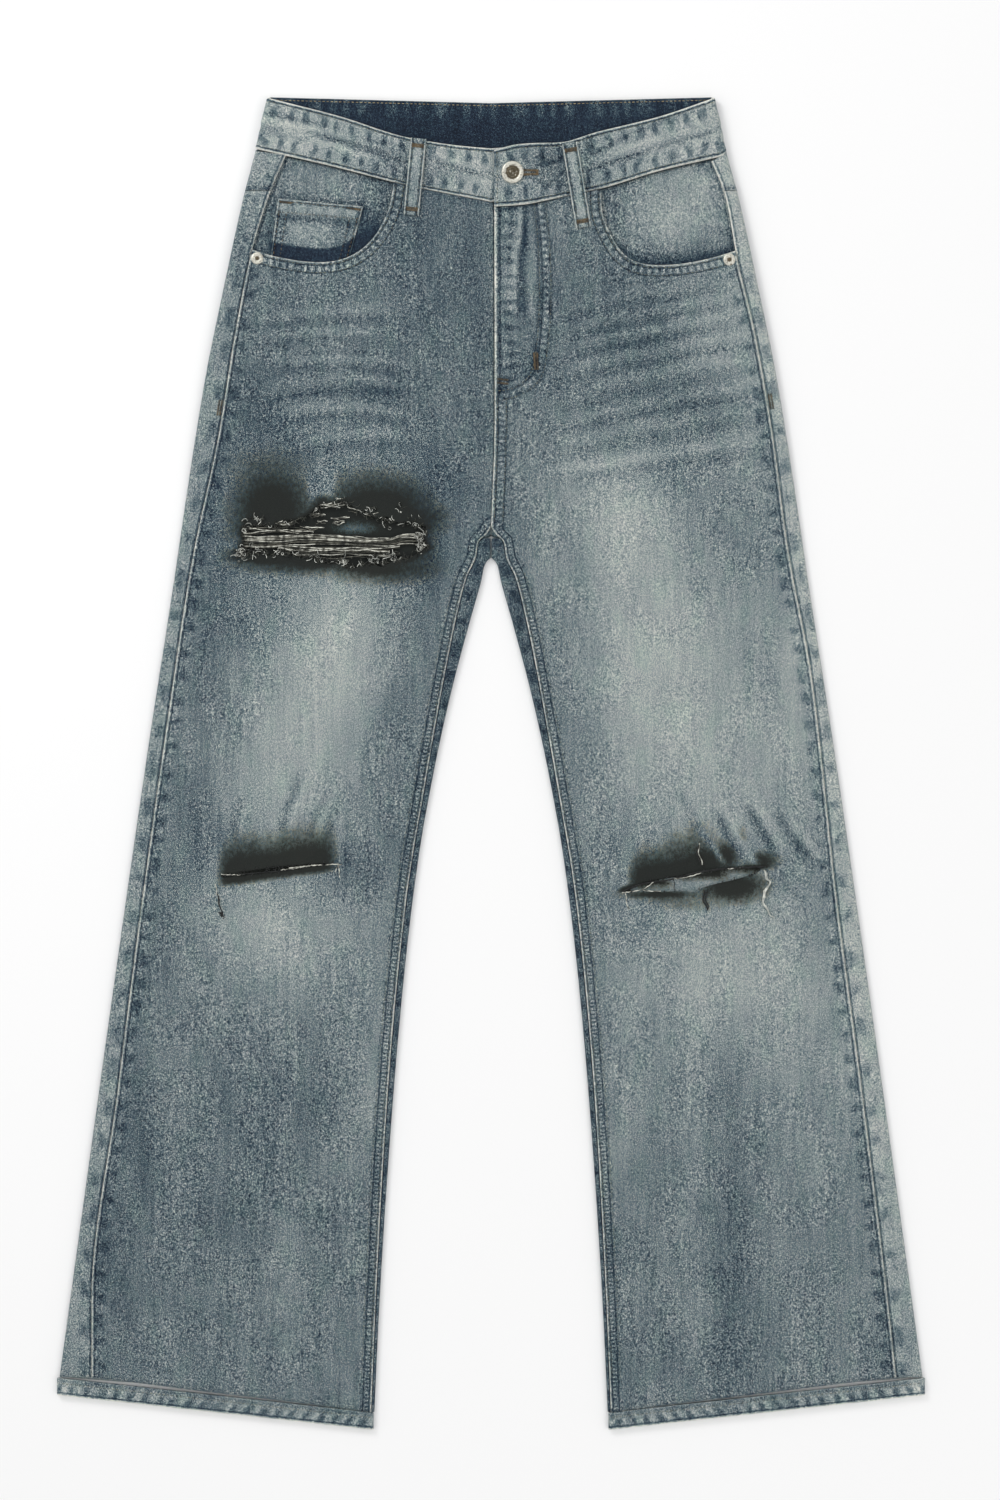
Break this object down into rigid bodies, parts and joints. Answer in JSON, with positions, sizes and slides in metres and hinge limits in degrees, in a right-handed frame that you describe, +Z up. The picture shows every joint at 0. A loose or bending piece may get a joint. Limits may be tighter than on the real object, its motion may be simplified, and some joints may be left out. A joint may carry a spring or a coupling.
{
  "type": "ripped wide-leg denim jeans laid flat",
  "caption": "Faded wide-leg denim jeans lying flat, front up, with a frayed thigh rip, slit knees, scoop pockets, belt loops and a buttoned waistband.",
  "frame": {"origin": "on the surface that the jeans lie on, under the middle of their outline", "axes": "+Y up the garment to the waist, +X to the wearer's left, +Z up from the surface, out of the front of the garment"},
  "size_m": [0.686, 1.0529, 0.012],
  "materials": {
    "denim": "stone-washed slate blue denim, faded on the thighs and knees, with dark stains round the tears",
    "band_denim": "worn pale denim with dark puckers beside the stitching",
    "facing_denim": "pale grey-blue denim, navy towards the pocket mouth",
    "metal": "silver with a warm cast, dark in the centre"
  },
  "bodies": {
    "root": {"waistband": "band_denim", "front_right": "denim", "front_left": "denim", "back_right": "denim", "back_left": "denim", "yoke_right": "denim", "yoke_left": "denim", "pocket_facing_right": "facing_denim", "pocket_facing_left": "facing_denim", "coin_pocket": "facing_denim", "back_pocket_right": "denim", "back_pocket_left": "denim", "belt_loop_front_right": "band_denim", "belt_loop_front_left": "band_denim", "belt_loop_side_right": "band_denim", "belt_loop_side_left": "band_denim", "belt_loop_back": "band_denim", "hem_right": "band_denim", "hem_left": "band_denim", "button": "metal", "rivet_right": "metal", "rivet_left": "metal"}
  },
  "joints": []
}
